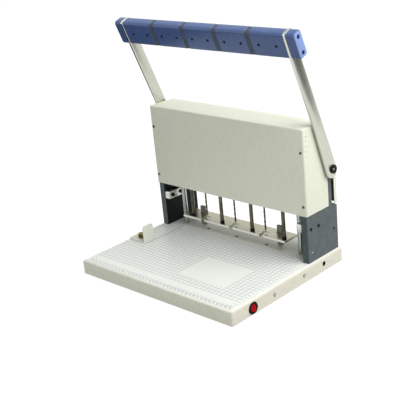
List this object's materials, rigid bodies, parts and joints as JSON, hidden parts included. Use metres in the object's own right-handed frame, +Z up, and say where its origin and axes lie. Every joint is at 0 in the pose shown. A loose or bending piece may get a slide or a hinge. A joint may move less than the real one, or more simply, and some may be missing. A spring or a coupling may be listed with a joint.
{
  "type": "drill binding machine",
  "caption": "Bench-top paper drilling machine: hooded drill head over a ruled table, lowered by a wide swinging lever, with a slotted pressure plate and paper stops.",
  "frame": {"origin": "middle of the base's footprint, on the surface that the feet stand on", "axes": "+X to the right seen from the front, +Y to the back, +Z up"},
  "size_m": [0.47, 0.34, 0.5031],
  "materials": {
    "cream_paint": "smooth semi-gloss powder coat",
    "mat_print": "printed satin film",
    "grey_paint": "satin paint on thick plate",
    "blue_plastic": "moulded, satin gloss",
    "grey_plastic": "moulded, matt",
    "stop_plastic": "moulded, matt",
    "satin_steel": "brushed",
    "bright_steel": "ground and polished",
    "dark_steel": "blackened, oiled",
    "aluminium": "milled",
    "brass": "knurled, bare",
    "rubber": "matt",
    "black_plastic": "moulded, matt",
    "red_plastic": "moulded, glossy",
    "belt_rubber": "woven belt, matt"
  },
  "bodies": {
    "base": {"base_tray": "cream_paint", "base_plate": "satin_steel", "ruled_mat": "mat_print", "drill_pad_bar": "black_plastic", "front_cover": "cream_paint", "rear_cover": "cream_paint", "crown_beam": "satin_steel", "switch_bezel": "black_plastic", "power_inlet": "black_plastic", "rubber_foot_front_left": "rubber", "rubber_foot_front_right": "rubber", "rubber_foot_rear_left": "rubber", "rubber_foot_rear_right": "rubber", "side_plate_left": "grey_paint", "guide_column_left": "bright_steel", "stop_block_left": "aluminium", "rear_paper_stop_left": "grey_plastic", "side_plate_right": "grey_paint", "guide_column_right": "bright_steel", "stop_block_right": "aluminium", "rear_paper_stop_right": "grey_plastic"},
    "lever": {"lever_arm_left": "satin_steel", "lever_arm_right": "satin_steel", "pivot_bolt_left": "dark_steel", "pivot_bolt_right": "dark_steel", "sector_gear_left": "dark_steel", "sector_gear_right": "dark_steel", "grip_cap_left": "blue_plastic", "grip_cap_right": "blue_plastic", "cross_shaft": "bright_steel", "grip_core": "satin_steel", "grip_block_1": "blue_plastic", "grip_block_2": "blue_plastic", "grip_block_3": "blue_plastic", "grip_block_4": "blue_plastic", "grip_block_5": "blue_plastic", "grip_spacer_1": "grey_plastic", "grip_spacer_2": "grey_plastic", "grip_spacer_3": "grey_plastic", "grip_spacer_4": "grey_plastic"},
    "head": {"drill_head": "aluminium", "rack_left": "satin_steel", "rack_right": "satin_steel", "drill_motor": "dark_steel", "drive_belt": "belt_rubber"},
    "motor_rotor": {"motor_pulley": "aluminium"},
    "spindle_unit_1": {"spindle_1": "dark_steel", "drill_bit_1": "dark_steel"},
    "spindle_unit_2": {"spindle_2": "dark_steel", "drill_bit_2": "dark_steel"},
    "spindle_unit_3": {"spindle_3": "dark_steel", "drill_bit_3": "dark_steel"},
    "press": {"pressure_plate": "bright_steel", "pressure_rod_1": "dark_steel", "pressure_rod_2": "dark_steel", "pressure_rod_3": "dark_steel", "pressure_rod_4": "dark_steel"},
    "stop": {"side_stop": "stop_plastic"},
    "clamp_screw": {"stop_screw": "brass"},
    "rocker": {"switch_rocker": "red_plastic"}
  },
  "joints": [
    {"name": "lever_swing", "type": "hinge", "parent": "base", "child": "lever", "pos_m": [0, 0.1426, 0.2097], "axis": [1, 0, 0], "range_deg": [0, 63], "stiffness_Nm_per_rad": 8, "springref_deg": -74.48},
    {"name": "head_slide", "type": "slide", "parent": "base", "child": "head", "axis": [0, 0, -1], "range_m": [0, 0.033]},
    {"name": "press_slide", "type": "slide", "parent": "head", "child": "press", "axis": [0, 0, 1], "range_m": [0, 0.0116]},
    {"name": "motor_spin", "type": "hinge", "parent": "head", "child": "motor_rotor", "pos_m": [0.113, 0.097, 0.2], "axis": [0, 0, 1], "continuous": true},
    {"name": "spindle_1_spin", "type": "hinge", "parent": "head", "child": "spindle_unit_1", "pos_m": [-0.095, 0.097, 0.2], "axis": [0, 0, 1], "continuous": true},
    {"name": "spindle_2_spin", "type": "hinge", "parent": "head", "child": "spindle_unit_2", "pos_m": [-0.012, 0.097, 0.2], "axis": [0, 0, 1], "continuous": true},
    {"name": "spindle_3_spin", "type": "hinge", "parent": "head", "child": "spindle_unit_3", "pos_m": [0.071, 0.097, 0.2], "axis": [0, 0, 1], "continuous": true},
    {"name": "side_stop_slide", "type": "slide", "parent": "base", "child": "stop", "axis": [1, 0, 0], "range_m": [-0.006, 0.006]},
    {"name": "stop_screw_turn", "type": "hinge", "parent": "base", "child": "clamp_screw", "pos_m": [-0.182, -0.0247, 0.04], "axis": [0, 0, 1], "range_deg": [0, 360]},
    {"name": "rocker_tilt", "type": "hinge", "parent": "base", "child": "rocker", "pos_m": [0.2097, -0.112, 0.0175], "axis": [0, 1, 0], "range_deg": [0, 16]}
  ],
  "couplings": [
    {"joint": "head_slide", "follows": "lever_swing", "m_per_rad": 0.03},
    {"joint": "press_slide", "follows": "lever_swing", "m_per_rad": 0.0105},
    {"joint": "spindle_1_spin", "follows": "motor_spin", "ratio": 1},
    {"joint": "spindle_2_spin", "follows": "motor_spin", "ratio": 1},
    {"joint": "spindle_3_spin", "follows": "motor_spin", "ratio": 1}
  ]
}
